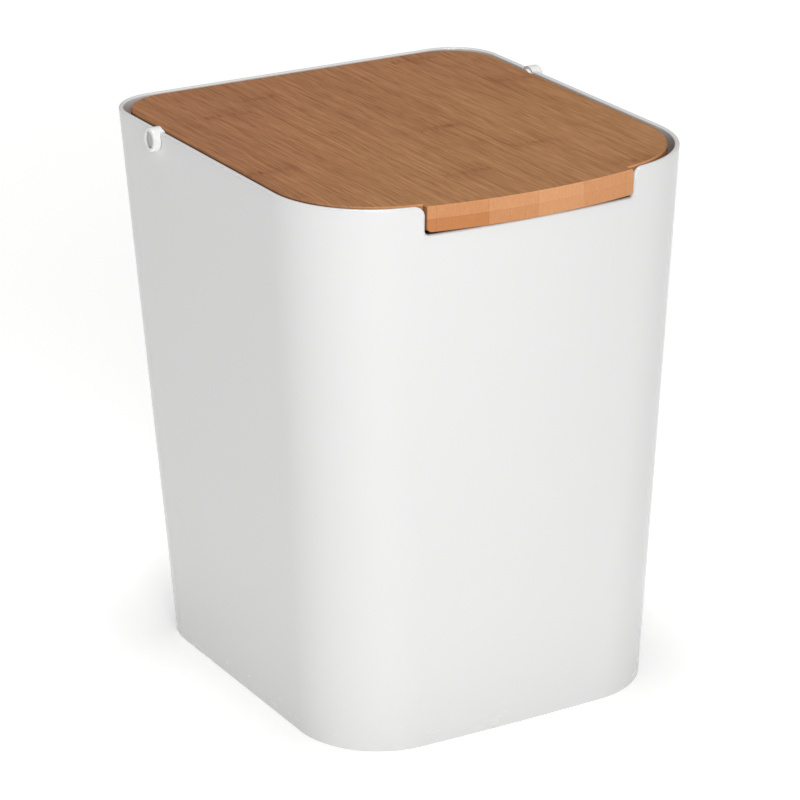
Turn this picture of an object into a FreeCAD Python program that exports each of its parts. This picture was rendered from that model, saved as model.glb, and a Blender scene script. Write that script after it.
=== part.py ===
import FreeCAD, Part
import math
import os

# Free-standing bin: a tapered moulded tub with a laminated bamboo lid that swings on two side pins.
# Millimetres. +Z is up, the front faces -Y, the origin is on the floor under the middle of the bin.

# Tub, outside
rim_width = 200.0
rim_depth = 219.0
rim_height = 257.8
rim_front_radius = 48.4
rim_rear_radius = 24.2
rim_front_bow = 20.0
base_width = 175.4
base_front_setback = 15.0
base_rear_setback = 16.1
base_front_radius = 40.8
base_rear_radius = 31.6
base_front_bow = 2.3

# Tub, walls and edges
wall = 2.2
floor_thickness = 3.0
foot_height = 4.0
floor_round = 5.0
rim_round = 0.8
rim_round_steps = 3
foot_round = 1.0

# Lid board
lid_thickness = 11.4
lid_below_rim = 0.2
lid_gap = 1.8
lid_corner_ease = 5.0
lid_edge_bevel = 0.6
strip_count = 8
upper_ply_thickness = 5.6

# Finger tab of the lid, and the notch in the front wall that it closes
tab_width = 104.0
tab_setback = 0.2
tab_bottom_round = 2.0
tab_side_gap = 0.8
tab_under_gap = 0.4
notch_floor_rise = 0.9
notch_top_round = 4.5
notch_bottom_round = 2.0

# Hinge
hinge_from_rear = 56.0
hinge_below_rim = 4.1
bush_diameter = 11.0
bush_reach = 3.6
bush_groove_depth = 0.9
bush_groove_clearance = 0.1
bush_seat_clearance = 0.05
bush_edge_round = 0.8
nose_diameter = 8.0
nose_play = 0.5
pin_diameter = 4.5
pin_running_clearance = 0.05
pin_glue_clearance = 0.02
pin_grip = 20.0
pin_head_diameter = 7.2
pin_head_thickness = 1.6
pin_head_sunk = 0.8
pin_head_side_clearance = 0.3
pin_head_seat_clearance = 0.2

# Cutting bodies reach this far past what they cut, and edges this near to a place count as lying on it
overcut = 10.0
same_place = 1e-4

# Worked out from the sizes above
rear_y = (rim_depth - tab_setback) / 2
front_y = rear_y - rim_depth
floor_top = foot_height + floor_thickness
lid_top = rim_height - lid_below_rim
lid_bottom = lid_top - lid_thickness
lid_inset = wall + lid_gap
lid_half_width = rim_width / 2 - lid_inset
ply_joint = lid_top - upper_ply_thickness
notch_half_width = tab_width / 2 + tab_side_gap
notch_floor = lid_bottom - tab_under_gap
notch_heel = notch_floor - notch_floor_rise
hinge_y = rear_y - hinge_from_rear
hinge_z = rim_height - hinge_below_rim
bush_radius = bush_diameter / 2
slot_radius = bush_radius - bush_groove_depth
recess_radius = pin_head_diameter / 2 + pin_head_side_clearance
recess_depth = pin_head_sunk + pin_head_thickness + pin_head_seat_clearance

AXIS_X = FreeCAD.Vector(1, 0, 0)
AXIS_Y = FreeCAD.Vector(0, 1, 0)
AXIS_Z = FreeCAD.Vector(0, 0, 1)
ORIGIN = FreeCAD.Vector(0, 0, 0)


def between(at_base, at_rim, z):
    return at_base + (at_rim - at_base) * z / rim_height


def wall_half_width(z):
    return between(base_width, rim_width, z) / 2


def bow_radius(half_width, bow):
    return (half_width ** 2 + bow ** 2) / (2 * bow)


def corner_arc(start, corner, end):
    """Quarter circle from start to end that rounds off the square corner between them."""
    middle = corner + (start + end - corner * 2) * (1 - math.sqrt(0.5))
    return Part.Arc(start, middle, end).toShape()


def outline(z, inset, ease=0.0):
    """Closed wire round the tub at a height, its four corners eased to a larger radius if asked."""
    half = wall_half_width(z)
    bow = bow_radius(half, between(base_front_bow, rim_front_bow, z))
    bow_centre = between(front_y + base_front_setback, front_y, z) + bow
    bow_arc = bow - inset
    side = half - inset
    rear = between(rear_y - base_rear_setback, rear_y, z) - inset
    front_radius = between(base_front_radius, rim_front_radius, z) - inset + ease
    rear_radius = between(base_rear_radius, rim_rear_radius, z) - inset + ease

    corner_x = side - front_radius
    corner_y = bow_centre - math.sqrt((bow_arc - front_radius) ** 2 - corner_x ** 2)
    lean = math.atan2(corner_x, bow_centre - corner_y)
    half_turn = (math.pi / 2 + lean) / 2

    def at(x, y):
        return FreeCAD.Vector(x, y, z)

    def on_arc(sign, centre_x, centre_y, radius, angle):
        return at(sign * (centre_x + radius * math.sin(angle)), centre_y - radius * math.cos(angle))

    def half_outline(sign):
        bow_end = on_arc(sign, 0, bow_centre, bow_arc, lean)
        corner_mid = on_arc(sign, corner_x, corner_y, front_radius, half_turn)
        side_front = at(sign * side, corner_y)
        side_rear = at(sign * side, rear - rear_radius)
        rear_end = at(sign * (side - rear_radius), rear)
        front_corner = Part.Arc(bow_end, corner_mid, side_front).toShape()
        rear_corner = corner_arc(side_rear, at(sign * side, rear), rear_end)
        return bow_end, rear_end, [front_corner, Part.makeLine(side_front, side_rear), rear_corner]

    right_bow_end, right_rear_end, right_edges = half_outline(1)
    left_bow_end, left_rear_end, left_edges = half_outline(-1)
    front_edge = Part.Arc(left_bow_end, at(0, bow_centre - bow_arc), right_bow_end).toShape()
    rear_edge = Part.makeLine(right_rear_end, left_rear_end)
    return Part.Wire(Part.__sortEdges__([front_edge] + right_edges + [rear_edge] + left_edges))


def wall_face(low_edge, high_edge):
    """Face between two edges one above the other: flat between lines, ruled between arcs."""
    if not isinstance(low_edge.Curve, Part.Line):
        return Part.makeRuledSurface(low_edge, high_edge)
    start, end = [vertex.Point for vertex in low_edge.Vertexes]
    high_start, high_end = [vertex.Point for vertex in high_edge.Vertexes]
    return Part.Face(Part.makePolygon([start, end, high_end, high_start, start]))


def tapered(rings):
    """Solid with the tub's taper through rings, each a height and an inset from the outside."""
    wires = [outline(z, inset) for z, inset in rings]
    faces = [Part.Face(wires[0]), Part.Face(wires[-1])]
    for low_wire, high_wire in zip(wires, wires[1:]):
        faces += [wall_face(*pair) for pair in zip(low_wire.Edges, high_wire.Edges)]
    skin = Part.Shell(faces)
    skin.sewShape()
    solid = Part.Solid(skin)
    if solid.Volume < 0:
        solid.reverse()
    return solid


def rim_rings(inset, way):
    """Rings that round one edge of the rim: way is 1 for the outer edge and -1 for the inner one."""
    rings = []
    for step in range(rim_round_steps + 1):
        turn = math.pi / 2 * step / rim_round_steps
        drop = rim_round * (1 - math.sin(turn))
        rings.append((rim_height - drop, inset + way * rim_round * (1 - math.cos(turn))))
    return rings


def lid_prism(inset, ease=0.0):
    """Solid as thick as the lid, with straight sides, of the outline at the rim."""
    face = Part.Face(outline(rim_height, inset, ease))
    face.translate(AXIS_Z * (lid_bottom - rim_height))
    return face.extrude(AXIS_Z * lid_thickness)


def edges_at(shape, z):
    def level(edge):
        return all(abs(vertex.Z - z) < same_place for vertex in edge.Vertexes)
    return [edge for edge in shape.Edges if level(edge)]


def edges_along(shape, wire):
    def lies_on(edge):
        middle = edge.valueAt((edge.FirstParameter + edge.LastParameter) / 2)
        ends = [vertex.Point for vertex in edge.Vertexes]
        return all(wire.distToShape(Part.Vertex(place))[0] < same_place for place in ends + [middle])
    return [edge for edge in shape.Edges if lies_on(edge)]


def block(low, high):
    size = high - low
    return Part.makeBox(size.x, size.y, size.z, low)


def rod(radius, start_x, end_x):
    """Cylinder on the hinge axis."""
    return Part.makeCylinder(radius, end_x - start_x, FreeCAD.Vector(start_x, hinge_y, hinge_z), AXIS_X)


def round_slot(half_width, start_x, end_x):
    """Round-bottomed slot shape on the hinge axis, open upwards."""
    def at(y, z):
        return FreeCAD.Vector(start_x, hinge_y + y, z)

    top = rim_height + overcut
    left = at(-half_width, hinge_z)
    right = at(half_width, hinge_z)
    bottom = Part.Arc(left, at(0, hinge_z - half_width), right).toShape()
    sides = Part.makePolygon([right, at(half_width, top), at(-half_width, top), left])
    return Part.Face(Part.Wire([bottom] + sides.Edges)).extrude(AXIS_X * (end_x - start_x))


def other_side(shape):
    return shape.mirror(ORIGIN, AXIS_X)


def front_prism(edges):
    """Solid pushed back through the front wall, from edges drawn in an XZ plane in front of it."""
    face = Part.Face(Part.Wire(Part.__sortEdges__(edges)))
    return face.extrude(AXIS_Y * (lid_inset + rim_front_bow + 2 * overcut))


def before_front(x, z):
    return FreeCAD.Vector(x, front_y - overcut, z)


def notch_cutter():
    """The notch seen from the front: rounded at the rim, with a slightly arched floor."""
    top = rim_height + overcut
    floor_half = notch_half_width - notch_bottom_round

    def half(sign):
        edge = sign * notch_half_width
        outer = sign * (notch_half_width + notch_top_round)
        shoulder = before_front(edge, rim_height - notch_top_round)
        side_end = before_front(edge, notch_heel + notch_bottom_round)
        floor_end = before_front(sign * floor_half, notch_heel)
        return [
            Part.makeLine(before_front(0, top), before_front(outer, top)),
            Part.makeLine(before_front(outer, top), before_front(outer, rim_height)),
            corner_arc(before_front(outer, rim_height), before_front(edge, rim_height), shoulder),
            Part.makeLine(shoulder, side_end),
            corner_arc(side_end, before_front(edge, notch_heel), floor_end),
        ]

    ends = [before_front(sign * floor_half, notch_heel) for sign in (-1, 1)]
    arch = Part.Arc(ends[0], before_front(0, notch_floor), ends[1]).toShape()
    return front_prism(half(-1) + half(1) + [arch])


def lid_tab():
    """The finger tab, level with the front of the rim, with its lower corners rounded."""
    def half(sign):
        edge = sign * tab_width / 2
        inner = sign * (tab_width / 2 - tab_bottom_round)
        heel = before_front(edge, lid_bottom + tab_bottom_round)
        return [
            Part.makeLine(before_front(0, lid_top), before_front(edge, lid_top)),
            Part.makeLine(before_front(edge, lid_top), heel),
            corner_arc(heel, before_front(edge, lid_bottom), before_front(inner, lid_bottom)),
            Part.makeLine(before_front(inner, lid_bottom), before_front(0, lid_bottom)),
        ]

    return front_prism(half(-1) + half(1)).common(lid_prism(tab_setback))


def body_shell():
    outside = tapered([(0, 0)] + rim_rings(0, 1))
    hollow = tapered([(floor_top, wall)] + rim_rings(wall, -1) + [(rim_height + overcut, wall - rim_round)])
    under_floor = tapered([(-overcut, wall), (foot_height, wall)])
    slot = round_slot(slot_radius, lid_half_width, rim_width / 2 + overcut)
    shell = outside.cut(hollow).cut(under_floor).cut(slot).cut(other_side(slot)).cut(notch_cutter())
    shell = shell.makeFillet(floor_round, edges_at(shell, floor_top))
    return shell.makeFillet(foot_round, edges_along(shell, outline(0, 0)))


def lid_board():
    board = lid_prism(lid_inset, lid_corner_ease).fuse(lid_tab()).removeSplitter()
    board = board.makeChamfer(lid_edge_bevel, edges_at(board, lid_top))
    bore_radius = pin_diameter / 2 + pin_glue_clearance
    bore = rod(bore_radius, lid_half_width - pin_grip, lid_half_width + overcut)
    return board.cut(bore).cut(other_side(bore))


def lid_strips(board, low, high):
    """The glued strips of one ply, from left to right, the right-hand half mirrored from the left one."""
    strip_width = 2 * lid_half_width / strip_count
    strips = []
    for place in range((strip_count + 1) // 2):
        right = (place + 1) * strip_width - lid_half_width
        left = right - strip_width
        if place == 0:
            left -= overcut
        corner = FreeCAD.Vector(left, front_y - overcut, low)
        strips.append(board.common(block(corner, FreeCAD.Vector(right, rear_y, high))))
    return strips + [other_side(strip) for strip in reversed(strips[:strip_count // 2])]


def hinge_bush():
    """Right-hand bush: a head outside the wall, a neck dropped into the slot and a nose beside the lid."""
    wall_outside = wall_half_width(rim_height)
    wall_inside = wall_outside - wall
    head_end = wall_half_width(hinge_z) + bush_reach
    nose_end = lid_half_width + nose_play
    groove_end = wall_outside + bush_groove_clearance

    body = rod(bush_radius, wall_inside, head_end)
    rims = [edge for edge in body.Edges if abs(edge.CenterOfMass.x - head_end) < same_place]
    body = body.makeFillet(bush_edge_round, rims)
    low = FreeCAD.Vector(nose_end, hinge_y - overcut, hinge_z - overcut)
    high = FreeCAD.Vector(groove_end, hinge_y + overcut, rim_height + bush_groove_clearance)
    groove = block(low, high).cut(round_slot(slot_radius - bush_seat_clearance, nose_end, groove_end))
    body = body.cut(groove)
    body = body.fuse(rod(nose_diameter / 2, nose_end, wall_inside + wall)).removeSplitter()
    body = body.cut(rod(recess_radius, head_end - recess_depth, head_end + overcut))
    return body.cut(rod(pin_diameter / 2 + pin_running_clearance, nose_end - overcut, head_end))


def hinge_pin():
    """Right-hand pin: a flat head sunk in the bush, and a shank glued into the lid's side edge."""
    head_end = wall_half_width(hinge_z) + bush_reach - pin_head_sunk
    head_start = head_end - pin_head_thickness
    shank = rod(pin_diameter / 2, lid_half_width - pin_grip, head_start)
    return shank.fuse(rod(pin_head_diameter / 2, head_start, head_end)).removeSplitter()


def save(node, shape):
    solids = shape.Solids
    print(node, len(solids), round(shape.Volume, 2), shape.isValid())
    solids[0].exportStep("parts/" + node + ".step")


def main():
    os.makedirs("parts", exist_ok=True)
    save("body_shell", body_shell())
    bush = hinge_bush()
    save("hinge_bush_right", bush)
    save("hinge_bush_left", other_side(bush))
    pin = hinge_pin()
    save("hinge_pin_right", pin)
    save("hinge_pin_left", other_side(pin))
    board = lid_board()
    for place, strip in enumerate(lid_strips(board, ply_joint, lid_top + overcut), 1):
        save("lid_upper_strip_" + str(place), strip)
    for place, strip in enumerate(lid_strips(board, lid_bottom - overcut, ply_joint), 1):
        save("lid_lower_strip_" + str(place), strip)


main()
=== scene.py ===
import math
import bmesh
import bpy
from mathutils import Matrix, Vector


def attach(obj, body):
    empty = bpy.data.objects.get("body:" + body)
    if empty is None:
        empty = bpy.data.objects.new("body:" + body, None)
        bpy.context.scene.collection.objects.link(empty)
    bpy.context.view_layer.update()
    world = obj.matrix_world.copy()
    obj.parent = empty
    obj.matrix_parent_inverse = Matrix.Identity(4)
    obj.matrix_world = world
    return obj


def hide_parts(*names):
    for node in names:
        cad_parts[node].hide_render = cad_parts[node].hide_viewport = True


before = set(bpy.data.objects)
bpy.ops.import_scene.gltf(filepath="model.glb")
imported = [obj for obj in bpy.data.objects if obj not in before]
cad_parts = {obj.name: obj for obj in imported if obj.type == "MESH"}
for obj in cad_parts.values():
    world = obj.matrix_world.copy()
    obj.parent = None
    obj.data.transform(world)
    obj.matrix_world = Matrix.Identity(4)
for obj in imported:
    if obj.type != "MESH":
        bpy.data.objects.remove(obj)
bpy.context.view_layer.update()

mm = 0.001
scene = bpy.context.scene


# shader maths on sockets

class Wire:
    def __init__(self, desk, socket):
        self.desk = desk
        self.socket = socket

    def maths(self, operation, *values):
        return self.desk.make("ShaderNodeMath", {"operation": operation}, dict(enumerate(values)))

    def __add__(self, other):
        return self.maths("ADD", self, other)

    def __sub__(self, other):
        return self.maths("SUBTRACT", self, other)

    def __rsub__(self, other):
        return self.maths("SUBTRACT", other, self)

    def __mul__(self, other):
        return self.maths("MULTIPLY", self, other)

    def __truediv__(self, other):
        return self.maths("DIVIDE", self, other)

    def __gt__(self, other):
        return self.maths("GREATER_THAN", self, other)

    def __lt__(self, other):
        return self.maths("LESS_THAN", self, other)

    def __pow__(self, other):
        return self.maths("POWER", self, other)

    __radd__ = __add__
    __rmul__ = __mul__

    def floor(self):
        return self.maths("FLOOR", self)

    def fract(self):
        return self.maths("FRACT", self)

    def size(self):
        return self.maths("ABSOLUTE", self)

    def clamp(self):
        return self.maths("MAXIMUM", self.maths("MINIMUM", self, 1.0), 0.0)

    def smooth(self, low, high):
        return self.desk.make("ShaderNodeMapRange", {"interpolation_type": "SMOOTHSTEP"},
                              {"Value": self, "From Min": low, "From Max": high})


class Desk:
    def __init__(self, name):
        self.material = bpy.data.materials.new(name)
        self.material.use_nodes = True
        self.tree = self.material.node_tree
        self.tree.nodes.clear()

    def make(self, kind, settings, sockets, output=0):
        node = self.tree.nodes.new(kind)
        for key, value in settings.items():
            if key == "stops":
                ramp = node.color_ramp
                while len(ramp.elements) < len(value):
                    ramp.elements.new(0.5)
                for element, (place, colour) in zip(ramp.elements, value):
                    element.position = place
                    element.color = (*colour, 1.0)
            else:
                setattr(node, key, value)
        for key, value in sockets.items():
            if isinstance(value, Wire):
                self.tree.links.new(value.socket, node.inputs[key])
            elif isinstance(value, tuple) and len(value) == 3 and node.inputs[key].type == "RGBA":
                node.inputs[key].default_value = (*value, 1.0)
            else:
                node.inputs[key].default_value = value
        wires = [Wire(self, socket) for socket in node.outputs]
        if isinstance(output, int):
            return wires[output] if wires else None
        return [wires[i] for i in output]

    def place(self):  # millimetres in the part's own frame
        at = self.make("ShaderNodeTexCoord", {}, {}, 3)
        return [c * (1 / mm) for c in self.make("ShaderNodeSeparateXYZ", {}, {0: at}, (0, 1, 2))]

    def facing(self):
        way = self.make("ShaderNodeTexCoord", {}, {}, 1)
        return self.make("ShaderNodeSeparateXYZ", {}, {0: way}, (0, 1, 2))

    def join(self, x, y, z):
        return self.make("ShaderNodeCombineXYZ", {}, {0: x, 1: y, 2: z})

    def noise(self, x, y, z, detail, rough=0.5):
        return self.make("ShaderNodeTexNoise", {"noise_dimensions": "3D"},
                         {"Vector": self.join(x, y, z), "Scale": 1.0, "Detail": detail, "Roughness": rough})

    def evenNoise(self, at, pitch, detail):  # the same pitch every way
        return self.noise(*[c * pitch for c in at], detail)

    def chance(self, x, y, z):
        return self.make("ShaderNodeTexWhiteNoise", {"noise_dimensions": "3D"},
                         {"Vector": self.join(x, y, z)})

    def blend(self, share, low, high):
        return self.make("ShaderNodeMix", {"data_type": "RGBA"}, {0: share, 6: low, 7: high}, 2)

    def darken(self, share, colour, shade):
        return self.make("ShaderNodeMix", {"data_type": "RGBA", "blend_type": "MULTIPLY"},
                         {0: share, 6: colour, 7: shade}, 2)

    def bump(self, height, look):
        return self.make("ShaderNodeBump", {}, {"Strength": look["bump"], "Distance": look["bumpDepth"] * mm,
                                                "Height": height})

    def finish(self, sockets):
        shader = self.make("ShaderNodeBsdfPrincipled", {}, sockets)
        self.make("ShaderNodeOutputMaterial", {}, {"Surface": shader})
        return self.material


# moulded plastic of the tub

tubLook = {
    "white": (0.765, 0.765, 0.763), "worn": (0.72, 0.72, 0.71), "rough": 0.16, "ior": 1.5,
    "cloudPitch": 0.02, "peelPitch": 0.35, "finePitch": 2.4, "rubAcross": 0.09, "rubUp": 0.5,
    "scuffHeight": 26.0, "bump": 0.05, "bumpDepth": 0.4,
}


def makeTubPlastic():
    look = tubLook
    desk = Desk("tubPlastic")
    at = desk.place()
    x, y, z = at
    cloud = desk.evenNoise(at, look["cloudPitch"], 3.0)
    peel = desk.evenNoise(at, look["peelPitch"], 2.0)
    fine = desk.evenNoise(at, look["finePitch"], 1.0)
    rub = desk.noise(x * look["rubAcross"], y * look["rubAcross"], z * look["rubUp"], 4.0, 0.6)
    nearFloor = 1.0 - z.smooth(0.0, look["scuffHeight"])
    scuff = rub.smooth(0.52, 0.74) * nearFloor
    colour = desk.blend(scuff * 0.5 + cloud * 0.12, look["white"], look["worn"])
    rough = look["rough"] + cloud * 0.06 + scuff * 0.16 + fine * 0.02
    height = peel + fine * 0.12
    return desk.finish({"Base Color": colour, "Roughness": rough, "IOR": look["ior"],
                        "Normal": desk.bump(height, look)})


# laminated bamboo of the lid

bambooLook = {
    "stripWidth": 24.0, "leftEdge": -96.0, "plyJoint": 252.0, "knuckleGap": 190.0, "darkEndStrip": 1.5,
    "dark": (0.190, 0.078, 0.032), "mid": (0.380, 0.178, 0.080), "light": (0.560, 0.290, 0.138),
    "red": (0.365, 0.152, 0.078), "yellow": (0.455, 0.230, 0.092),
    "endDark": (0.530, 0.205, 0.070), "endLight": (0.700, 0.345, 0.160),
    "haloShade": (0.72, 0.62, 0.55), "strokeShade": (0.66, 0.54, 0.45), "fleckShade": (0.38, 0.24, 0.18),
    "seamShade": (0.45, 0.36, 0.30), "endSeamShade": (0.55, 0.42, 0.34), "plyShade": (0.60, 0.46, 0.38),
    "sway": {"across": 0.03, "along": 0.012, "up": 0.03, "seed": 1.0, "detail": 1.0, "rough": 0.5},
    "hair": {"across": 1.9, "along": 0.042, "up": 1.9, "seed": 1.0, "detail": 3.0, "rough": 0.7},
    "dash": {"across": 2.5, "along": 0.07, "up": 2.5, "seed": 1.7, "detail": 1.0, "rough": 0.5},
    "thread": {"across": 3.6, "along": 0.05, "up": 3.6, "seed": 2.3, "detail": 1.0, "rough": 0.5},
    "streak": {"across": 0.45, "along": 0.012, "up": 0.5, "seed": 1.0, "detail": 3.0, "rough": 0.6},
    "band": {"across": 0.16, "along": 0.006, "up": 0.2, "seed": 1.0, "detail": 2.0, "rough": 0.5},
    "endGrain": {"across": 1.6, "along": 0.02, "up": 0.22, "seed": 1.0, "detail": 3.0, "rough": 0.6},
    "swayReach": 2.6, "patchPitch": 0.012, "porePitch": 1.35, "poreAlong": 0.03, "shiftReach": 311.0,
    "rough": 0.56, "ior": 1.48, "specular": 0.34, "bump": 0.32, "bumpDepth": 0.35,
}


def fibre(desk, at, shift, layer):  # noise drawn out along the strips
    x, y, z = at
    return desk.noise(x * layer["across"] + shift * layer["seed"], y * layer["along"], z * layer["up"],
                      layer["detail"], layer["rough"])


def knuckleMarks(y, shift, hair, streak):  # dark flecks at a knuckle and the dusk round it
    gap = bambooLook["knuckleGap"]
    reach = (y + shift + streak * 9.0) / gap
    fromKnuckle = (reach.fract() - 0.5).size() * gap
    knuckle = 1.0 - fromKnuckle.smooth(0.6, 3.8)
    halo = 1.0 - fromKnuckle.smooth(2.0, 16.0)
    return hair.smooth(0.51, 0.63) * knuckle, halo


def bambooFace(desk, at, swayed, shift, hair, streak, flecks, halo, lightness):
    look = bambooLook
    x, y, z = at
    strokes = fibre(desk, swayed, shift, look["dash"]).smooth(0.58, 0.70)
    thread = fibre(desk, swayed, shift, look["thread"])
    band = fibre(desk, swayed, shift, look["band"])
    patch = desk.evenNoise(at, look["patchPitch"], 1.0)
    tone = ((hair - 0.5) * 1.8 + (thread - 0.5) * 1.1 + (streak - 0.5) * 0.8
            + (band - 0.5) * 0.55 + (lightness - 0.5) * 0.12 + 0.52)
    stops = [(0.0, look["dark"]), (0.48, look["mid"]), (1.0, look["light"])]
    colour = desk.make("ShaderNodeValToRGB", {"stops": stops}, {0: tone.clamp()})
    rearLeft = (x * -0.004 + y * 0.005 + 0.5).clamp()  # the board is redder there
    tint = desk.blend((rearLeft + patch - 0.5).clamp(), look["yellow"], look["red"])
    colour = desk.blend(0.36, colour, tint)
    colour = desk.darken(halo * 0.22, colour, look["haloShade"])
    colour = desk.darken(strokes * 0.6, colour, look["strokeShade"])
    return desk.darken(flecks * 0.66, colour, look["fleckShade"])


def bambooEnd(desk, at, strip, ply, shift, draw, pore, seam):
    look = bambooLook
    grain = fibre(desk, at, shift, look["endGrain"])
    lowerLeft = ((strip - look["darkEndStrip"]).size() < 0.6) * (1.0 - ply)  # two dark blocks at the tab
    tone = (grain - 0.5) * 0.8 + (draw - 0.5) * 0.5 + 0.72 - pore * 0.16 - lowerLeft * 0.75
    colour = desk.blend(tone.clamp(), look["endDark"], look["endLight"])
    colour = desk.darken(seam * 0.14, colour, look["endSeamShade"])
    plySeam = 1.0 - (at[2] - look["plyJoint"]).size().smooth(0.05, 0.35)
    return desk.darken(plySeam * 0.14, colour, look["plyShade"])


def makeBamboo():
    look = bambooLook
    desk = Desk("bambooBoard")
    at = desk.place()
    x, y, z = at
    across = (x - look["leftEdge"]) / look["stripWidth"]
    strip = across.floor()
    ply = z > look["plyJoint"]
    draw = desk.chance(strip, ply, 2.13)
    lightness = desk.chance(strip, ply, 4.81)
    shift = draw * look["shiftReach"]
    fromSeam = ((across.fract() - 0.5).size() - 0.5).size() * look["stripWidth"]
    seam = 1.0 - fromSeam.smooth(0.05, 0.32)

    swayed = (x + fibre(desk, at, shift, look["sway"]) * look["swayReach"], y, z)
    hair = fibre(desk, swayed, shift, look["hair"])
    streak = fibre(desk, swayed, shift, look["streak"])
    flecks, halo = knuckleMarks(y, shift, hair, streak)
    faceColour = bambooFace(desk, at, swayed, shift, hair, streak, flecks, halo, lightness)
    faceColour = desk.darken(seam * 0.20, faceColour, look["seamShade"])

    dotsAt = desk.join(x * look["porePitch"] + shift, y * look["poreAlong"], z * look["porePitch"])
    dots = desk.make("ShaderNodeTexVoronoi", {"voronoi_dimensions": "3D"}, {"Vector": dotsAt, "Scale": 1.0})
    pore = 1.0 - dots.smooth(0.12, 0.42)
    endColour = bambooEnd(desk, at, strip, ply, shift, draw, pore, seam)

    onEnd = desk.facing()[1].size().smooth(0.45, 0.75)
    colour = desk.blend(onEnd, faceColour, endColour)
    rough = look["rough"] + (hair - 0.5) * 0.22 + onEnd * 0.12 + seam * 0.1
    height = hair * 0.55 + streak * 0.25 - seam * 0.9 - pore * onEnd * 0.5 - flecks * 0.5
    return desk.finish({"Base Color": colour, "Roughness": rough, "IOR": look["ior"],
                        "Specular IOR Level": look["specular"], "Normal": desk.bump(height, look)})


# hinge bushes and pins

bushLook = {
    "white": (0.87, 0.87, 0.865), "shade": (0.80, 0.80, 0.795), "rough": 0.22, "ior": 1.5,
    "cloudPitch": 0.5, "finePitch": 4.0, "bump": 0.06, "bumpDepth": 0.3,
}
steelLook = {
    "bright": (0.56, 0.56, 0.555), "dull": (0.40, 0.40, 0.395), "rough": 0.34, "metal": 0.9,
    "ringPitch": 3.2, "cloudPitch": 0.4, "bump": 0.12, "bumpDepth": 0.2,
}
hingeSpot = {"y": 53.4, "z": 253.7}


def makeBushPlastic():
    look = bushLook
    desk = Desk("bushPlastic")
    at = desk.place()
    cloud = desk.evenNoise(at, look["cloudPitch"], 3.0)
    fine = desk.evenNoise(at, look["finePitch"], 2.0)
    colour = desk.blend(cloud * 0.5, look["white"], look["shade"])
    return desk.finish({"Base Color": colour, "Roughness": look["rough"] + fine * 0.12, "IOR": look["ior"],
                        "Normal": desk.bump(fine, look)})


def makePinSteel():
    look = steelLook
    desk = Desk("pinSteel")
    at = desk.place()
    x, y, z = at
    dy = y - hingeSpot["y"]
    dz = z - hingeSpot["z"]
    radius = (dy * dy + dz * dz) ** 0.5
    rings = desk.noise(radius * look["ringPitch"], x * look["cloudPitch"], 0.0, 2.0)
    cloud = desk.evenNoise(at, look["cloudPitch"], 3.0)
    colour = desk.blend((rings * 0.6 + cloud * 0.5).clamp(), look["dull"], look["bright"])
    return desk.finish({"Base Color": colour, "Roughness": look["rough"] + rings * 0.2,
                        "Metallic": look["metal"], "Normal": desk.bump(rings, look)})


# tub mesh

tub = {
    "rimWidth": 200.0, "rimDepth": 219.0, "rimHeight": 257.8, "rimFrontRadius": 48.4, "rimRearRadius": 24.2,
    "rimFrontBow": 20.0, "baseWidth": 175.4, "baseFrontSetback": 15.0, "baseRearSetback": 16.1,
    "baseFrontRadius": 40.8, "baseRearRadius": 31.6, "baseFrontBow": 2.3, "rearY": 109.4,
    "wall": 2.2, "floorTop": 7.0, "floorRound": 5.0, "footHeight": 4.0, "footRound": 1.0, "edgeRound": 0.8,
    "notchHalf": 52.8, "notchFloor": 245.8, "notchRise": 0.9, "notchTopRound": 4.5, "notchBottomRound": 2.0,
    "notchSpan": 72.0, "slotHalf": 4.6, "slotTopRound": 0.5, "slotEdgeRound": 0.22, "slotSpan": 15.0,
    "bandLow": 218.0, "sharpAngle": 38.0,
    "steps": {
        "wall": 12, "band": 9, "edge": 5, "floor": 6, "corner": 18, "sideFront": 12, "sideRear": 4, "rear": 8,
        "notchFloor": 22, "notchLow": 6, "notchSide": 4, "notchTop": 8, "notchRim": 6,
        "slotRim": 4, "slotTop": 4, "slotSide": 3, "slotRound": 20,
    },
}
quarter = math.pi / 2


def mixed(low, high, share):
    return low + (high - low) * share


def section(z, inset):  # outline of the tub at a height, drawn in by inset
    share = z / tub["rimHeight"]
    half = mixed(tub["baseWidth"], tub["rimWidth"], share) / 2
    bow = mixed(tub["baseFrontBow"], tub["rimFrontBow"], share)
    bowRadius = (half ** 2 + bow ** 2) / (2 * bow)
    bowCentre = tub["rearY"] - tub["rimDepth"] + tub["baseFrontSetback"] * (1 - share) + bowRadius
    frontRadius = mixed(tub["baseFrontRadius"], tub["rimFrontRadius"], share) - inset
    side = half - inset
    arc = bowRadius - inset
    cornerX = side - frontRadius
    cornerY = bowCentre - math.sqrt((arc - frontRadius) ** 2 - cornerX ** 2)
    return {
        "side": side, "arc": arc, "bowCentre": bowCentre, "frontRadius": frontRadius,
        "cornerX": cornerX, "cornerY": cornerY, "lean": math.atan2(cornerX, bowCentre - cornerY),
        "rearRadius": mixed(tub["baseRearRadius"], tub["rimRearRadius"], share) - inset,
        "rear": tub["rearY"] - tub["baseRearSetback"] * (1 - share) - inset,
    }


def frontAt(x, cut):
    if abs(x) <= cut["arc"] * math.sin(cut["lean"]):
        return cut["bowCentre"] - math.sqrt(cut["arc"] ** 2 - x ** 2)
    out = min(abs(x) - cut["cornerX"], cut["frontRadius"])
    return cut["cornerY"] - math.sqrt(cut["frontRadius"] ** 2 - out ** 2)


def frontShare(x, cut):  # share of a place on the front, as halfRound takes it
    if abs(x) <= cut["arc"] * math.sin(cut["lean"]):
        return math.asin(abs(x) / cut["arc"]) / cut["lean"]
    turn = math.asin((abs(x) - cut["cornerX"]) / cut["frontRadius"])
    return 1 + (turn - cut["lean"]) / (quarter - cut["lean"])


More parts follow.
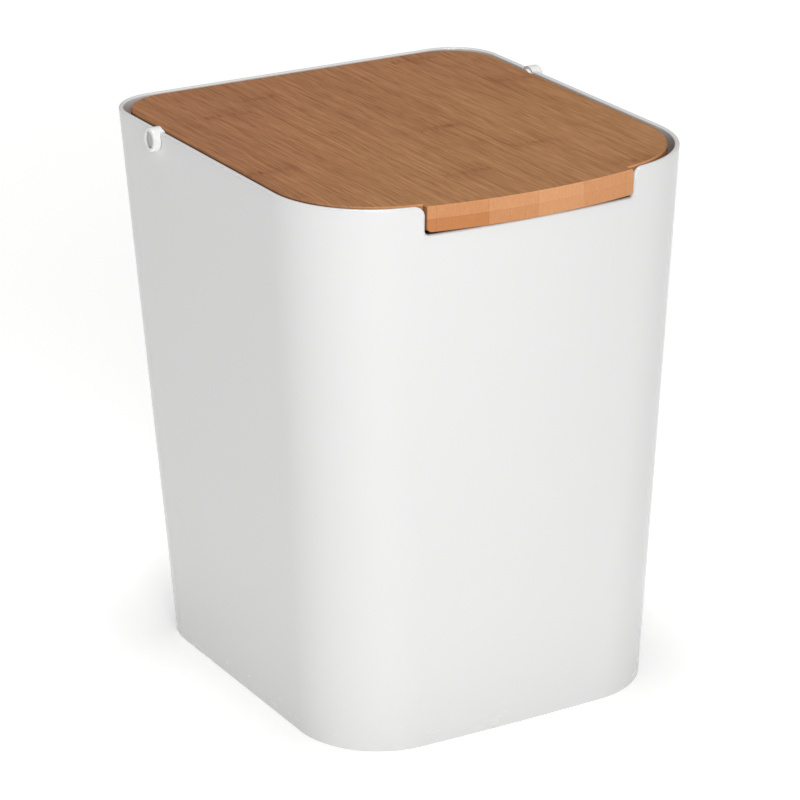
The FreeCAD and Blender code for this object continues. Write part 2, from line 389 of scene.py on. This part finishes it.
# right half of the outline: share 0 to 1 on the bowed front, to 2 round the front corner,
# to 3 along the side, to 4 round the rear corner and to 5 at the rear middle
def halfRound(share, cut):
    if share <= 1:
        turn = share * cut["lean"]
        return cut["arc"] * math.sin(turn), cut["bowCentre"] - cut["arc"] * math.cos(turn)
    if share <= 2:
        turn = mixed(cut["lean"], quarter, share - 1)
        return (cut["cornerX"] + cut["frontRadius"] * math.sin(turn),
                cut["cornerY"] - cut["frontRadius"] * math.cos(turn))
    if share <= 3:
        return cut["side"], mixed(cut["cornerY"], cut["rear"] - cut["rearRadius"], share - 2)
    if share <= 4:
        turn = (share - 3) * quarter
        return (cut["side"] - cut["rearRadius"] * (1 - math.cos(turn)),
                cut["rear"] - cut["rearRadius"] * (1 - math.sin(turn)))
    return (cut["side"] - cut["rearRadius"]) * (5 - share), cut["rear"]


def arcSteps(centre, radius, start, end, steps, way):
    found = []
    for k in range(1, steps):
        turn = math.radians(mixed(start, end, k / steps))
        c, s = math.cos(turn), math.sin(turn)
        found.append((centre[0] + radius * c, centre[1] + radius * s, way * c, way * s))
    return found


def lineSteps(start, end, normal, steps):
    return [(mixed(start[0], end[0], k / steps), mixed(start[1], end[1], k / steps), *normal)
            for k in range(steps + 1)]


def notchEdge():  # from the middle of the notch out along the rim: place, height and way out
    steps = tub["steps"]
    top, low, half = tub["rimHeight"], tub["notchFloor"] - tub["notchRise"], tub["notchHalf"]
    lowRound, topRound = tub["notchBottomRound"], tub["notchTopRound"]
    flat = half - lowRound
    level = lineSteps((0, low), (flat, low), (0, 1), steps["notchFloor"])
    edge = [(x, z + tub["notchRise"] * (1 - (x / flat) ** 2), a, b) for x, z, a, b in level]
    edge += arcSteps((flat, low + lowRound), lowRound, -90, 0, steps["notchLow"], -1)
    edge += lineSteps((half, low + lowRound), (half, top - topRound), (-1, 0), steps["notchSide"])
    edge += arcSteps((half + topRound, top - topRound), topRound, 180, 90, steps["notchTop"], 1)
    edge += lineSteps((half + topRound, top), (tub["notchSpan"], top), (0, 1), steps["notchRim"])
    return edge


def slotEdge():  # from the front of the slot to its rear, along the side wall
    steps = tub["steps"]
    top, half, small = tub["rimHeight"], tub["slotHalf"], tub["slotTopRound"]
    y, z = hingeSpot["y"], hingeSpot["z"]
    edge = lineSteps((y - tub["slotSpan"], top), (y - half - small, top), (0, 1), steps["slotRim"])
    edge += arcSteps((y - half - small, top - small), small, 90, 0, steps["slotTop"], 1)
    edge += lineSteps((y - half, top - small), (y - half, z), (1, 0), steps["slotSide"])
    edge += arcSteps((y, z), half, 180, 360, steps["slotRound"], -1)
    edge += lineSteps((y + half, z), (y + half, top - small), (-1, 0), steps["slotSide"])
    edge += arcSteps((y + half + small, top - small), small, 180, 90, steps["slotTop"], 1)
    edge += lineSteps((y + half + small, top), (y + tub["slotSpan"], top), (0, 1), steps["slotRim"])
    return edge


def lengthsAlong(edge):
    run = [0.0]
    for a, b in zip(edge, edge[1:]):
        run.append(run[-1] + math.hypot(b[0] - a[0], b[1] - a[1]))
    return [r / run[-1] for r in run]


def plainColumn(share):
    return {"share": share, "kind": "plain", "round": tub["edgeRound"]}


def edgeColumn(share, kind, point, edgeRound):
    at, z, wayAlong, wayUp = point
    return {"share": share, "kind": kind, "at": at, "z": z, "way": (wayAlong, wayUp), "round": edgeRound}


def tubColumns():  # right half, from the front middle to the rear middle
    steps = tub["steps"]
    low = section(tub["bandLow"], 0)
    rim = section(tub["rimHeight"], 0)
    endShare = frontShare(tub["notchSpan"], rim)
    endX = halfRound(endShare, low)[0]
    edge = notchEdge()
    columns = [edgeColumn(frontShare(run * endX, low), "front", point, tub["edgeRound"])
               for point, run in zip(edge, lengthsAlong(edge))]
    for k in range(1, steps["corner"]):
        columns.append(plainColumn(mixed(endShare, 2, k / steps["corner"])))

    edge = slotEdge()
    sideLength = rim["rear"] - rim["rearRadius"] - rim["cornerY"]
    first = 2 + (edge[0][0] - rim["cornerY"]) / sideLength
    last = 2 + (edge[-1][0] - rim["cornerY"]) / sideLength
    for k in range(steps["sideFront"]):
        columns.append(plainColumn(mixed(2, first, k / steps["sideFront"])))
    for point, run in zip(edge, lengthsAlong(edge)):
        onRim = math.isclose(point[1], tub["rimHeight"])
        edgeRound = tub["edgeRound"] if onRim else tub["slotEdgeRound"]
        columns.append(edgeColumn(mixed(first, last, run), "side", point, edgeRound))
    for k in range(1, steps["sideRear"]):
        columns.append(plainColumn(mixed(last, 3, k / steps["sideRear"])))
    for k in range(steps["corner"]):
        columns.append(plainColumn(3 + k / steps["corner"]))
    for k in range(steps["rear"] + 1):
        columns.append(plainColumn(4 + k / steps["rear"]))
    return columns


def lowPoint(column, z, inset):
    return (*halfRound(column["share"], section(z, inset)), z)


def bandPoint(column, rise, back, inset):  # rise 0..1 up the band, back is the distance from the edge
    if column["kind"] == "plain":
        return lowPoint(column, mixed(tub["bandLow"], tub["rimHeight"] - back, rise), inset)
    x0, y0, z0 = lowPoint(column, tub["bandLow"], inset)
    start = x0 if column["kind"] == "front" else y0
    at = mixed(start, column["at"] - column["way"][0] * back, rise)
    z = mixed(z0, column["z"] - column["way"][1] * back, rise)
    cut = section(z, inset)
    if column["kind"] == "front":
        return at, frontAt(at, cut), z
    return cut["side"], at, z


def edgePoint(column, turn, inside):  # rounded top edge, a quarter turn from the wall to the top
    back = column["round"] * (1 - math.sin(turn))
    inset = column["round"] * (1 - math.cos(turn))
    return bandPoint(column, 1.0, back, tub["wall"] - inset if inside else inset)


def footPoint(column, turn):
    return lowPoint(column, tub["footRound"] * (1 - math.cos(turn)), tub["footRound"] * (1 - math.sin(turn)))


def floorPoint(column, turn):
    z = tub["floorTop"] + tub["floorRound"] * (1 - math.sin(turn))
    return lowPoint(column, z, tub["wall"] + tub["floorRound"] * (1 - math.cos(turn)))


def tubRows():  # from under the floor round the foot, up the outside, over the rim and down inside
    steps = tub["steps"]
    wall, low = tub["wall"], tub["bandLow"]
    edgeTurns = [quarter * k / steps["edge"] for k in range(steps["edge"] + 1)]
    floorTurns = [quarter * k / steps["floor"] for k in range(1, steps["floor"] + 1)]
    rises = [k / steps["band"] for k in range(steps["band"] + 1)]
    shares = [k / steps["wall"] for k in range(1, steps["wall"] + 1)]
    outsideHeights = [mixed(tub["footRound"], low, s) for s in shares]
    insideHeights = [mixed(low, tub["floorTop"] + tub["floorRound"], s) for s in shares]
    rows = [lambda c: lowPoint(c, tub["footHeight"], wall), lambda c: lowPoint(c, 0.0, wall)]
    rows += [lambda c, t=turn: footPoint(c, t) for turn in edgeTurns]
    rows += [lambda c, h=height: lowPoint(c, h, 0.0) for height in outsideHeights]
    rows += [lambda c, r=rise: bandPoint(c, r, c["round"], 0.0) for rise in rises[1:]]
    rows += [lambda c, t=turn: edgePoint(c, t, False) for turn in edgeTurns[1:]]
    rows += [lambda c, t=turn: edgePoint(c, t, True) for turn in reversed(edgeTurns)]
    rows += [lambda c, r=rise: bandPoint(c, r, c["round"], wall) for rise in reversed(rises[:-1])]
    rows += [lambda c, h=height: lowPoint(c, h, wall) for height in insideHeights]
    rows += [lambda c, t=turn: floorPoint(c, t) for turn in floorTurns]
    return rows


def makeTub():
    columns = tubColumns()
    mesh = bpy.data.meshes.new("tubMoulding")
    work = bmesh.new()
    grid = []
    for row in tubRows():
        right = [row(c) for c in columns]
        left = [(-x, y, z) for x, y, z in reversed(right[1:-1])]
        grid.append([work.verts.new((x * mm, y * mm, z * mm)) for x, y, z in right + left])
    count = len(grid[0])
    for low, high in zip(grid, grid[1:]):
        for k in range(count):
            n = (k + 1) % count
            work.faces.new((low[k], low[n], high[n], high[k]))
    work.faces.new(list(reversed(grid[0])))
    work.faces.new(grid[-1])
    bmesh.ops.recalc_face_normals(work, faces=work.faces)
    work.to_mesh(mesh)
    work.free()
    for face in mesh.polygons:
        face.use_smooth = True
    mesh.set_sharp_from_angle(angle=math.radians(tub["sharpAngle"]))
    made = bpy.data.objects.new("tubMoulding", mesh)
    scene.collection.objects.link(made)
    made.data.materials.append(makeTubPlastic())
    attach(made, "bin")
    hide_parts("body_shell")
    print("tub", len(mesh.vertices), "points")


makeTub()


# finishes on the lid and hinge

def dress(names, material):
    for name in names:
        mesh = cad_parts[name].data
        mesh.materials.clear()
        mesh.materials.append(material)


dress([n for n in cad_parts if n.startswith("lid_")], makeBamboo())
dress(["hinge_bush_left", "hinge_bush_right"], makeBushPlastic())
dress(["hinge_pin_left", "hinge_pin_right"], makePinSteel())
print("finishes on lid and hinge")


# floor, light and camera

floorLook = {
    "size": 14.0, "colour": (0.90, 0.90, 0.895), "shade": (0.86, 0.86, 0.855), "rough": 0.6,
    "cloudPitch": 0.004, "glow": 0.40, "farGlow": (1.5, 1.5, 1.49), "farFrom": 350.0, "farTo": 1700.0,
}
lightLook = {
    "world": 0.02, "aim": (0, 0, 0.13),
    "lamps": [
        {"name": "overhead", "at": (0.0, 0.0, 3.4), "size": (1.4, 1.4), "power": 81.0},
        {"name": "frontLeft", "at": (-0.81, -1.90, 0.88), "size": (1.0, 1.0), "power": 23.5},
    ],
}
eye = {
    "at": (-0.773702, -1.309923, 0.711661), "azimuth": -30.57, "elevation": 20.96, "lens": 158.364,
    "shift": (-0.010000, -0.006825), "sensor": 36.0, "farthest": 50.0,
}


def makeFloor():
    look = floorLook
    mesh = bpy.data.meshes.new("studioFloor")
    half = look["size"] / 2
    corners = [(-half, -half, 0), (half, -half, 0), (half, half, 0), (-half, half, 0)]
    mesh.from_pydata(corners, [], [(0, 1, 2, 3)])
    floor = bpy.data.objects.new("studioFloor", mesh)
    scene.collection.objects.link(floor)
    desk = Desk("paleFloor")
    x, y, z = desk.place()
    cloud = desk.noise(x * look["cloudPitch"], y * look["cloudPitch"], z, 3.0)
    colour = desk.blend(cloud * 0.1, look["colour"], look["shade"])
    # painted light: the floor glows, more strongly far off, to whiten the background and to fill the shade
    # round the foot of the tub
    far = ((x * x + y * y) ** 0.5).smooth(look["farFrom"], look["farTo"])
    glow = desk.blend(far, look["colour"], look["farGlow"])
    mesh.materials.append(desk.finish({"Base Color": colour, "Roughness": look["rough"],
                                       "Emission Color": glow, "Emission Strength": look["glow"]}))
    print("floor")


def makeLight():
    world = bpy.data.worlds.new("studio")
    world.use_nodes = True
    background = world.node_tree.nodes["Background"]
    background.inputs["Color"].default_value = (1, 1, 1, 1)
    background.inputs["Strength"].default_value = lightLook["world"]
    scene.world = world
    for lamp in lightLook["lamps"]:
        data = bpy.data.lights.new(lamp["name"], "AREA")
        data.shape = "RECTANGLE"
        data.size, data.size_y = lamp["size"]
        data.energy = lamp["power"]
        made = bpy.data.objects.new(lamp["name"], data)
        made.location = lamp["at"]
        aim = Vector(lightLook["aim"]) - made.location
        made.rotation_euler = aim.to_track_quat("-Z", "Y").to_euler()
        scene.collection.objects.link(made)
    scene.view_settings.view_transform = "Standard"
    print(len(lightLook["lamps"]), "lamps")


def makeCamera():
    data = bpy.data.cameras.new("eye")
    data.lens = eye["lens"]
    data.sensor_width = eye["sensor"]
    data.shift_x, data.shift_y = eye["shift"]
    data.clip_end = eye["farthest"]
    camera = bpy.data.objects.new("eye", data)
    camera.location = eye["at"]
    camera.rotation_euler = (math.radians(90 - eye["elevation"]), 0.0, math.radians(eye["azimuth"]))
    scene.collection.objects.link(camera)
    scene.camera = camera
    print("camera")


makeFloor()
makeLight()
makeCamera()
bpy.context.view_layer.update()
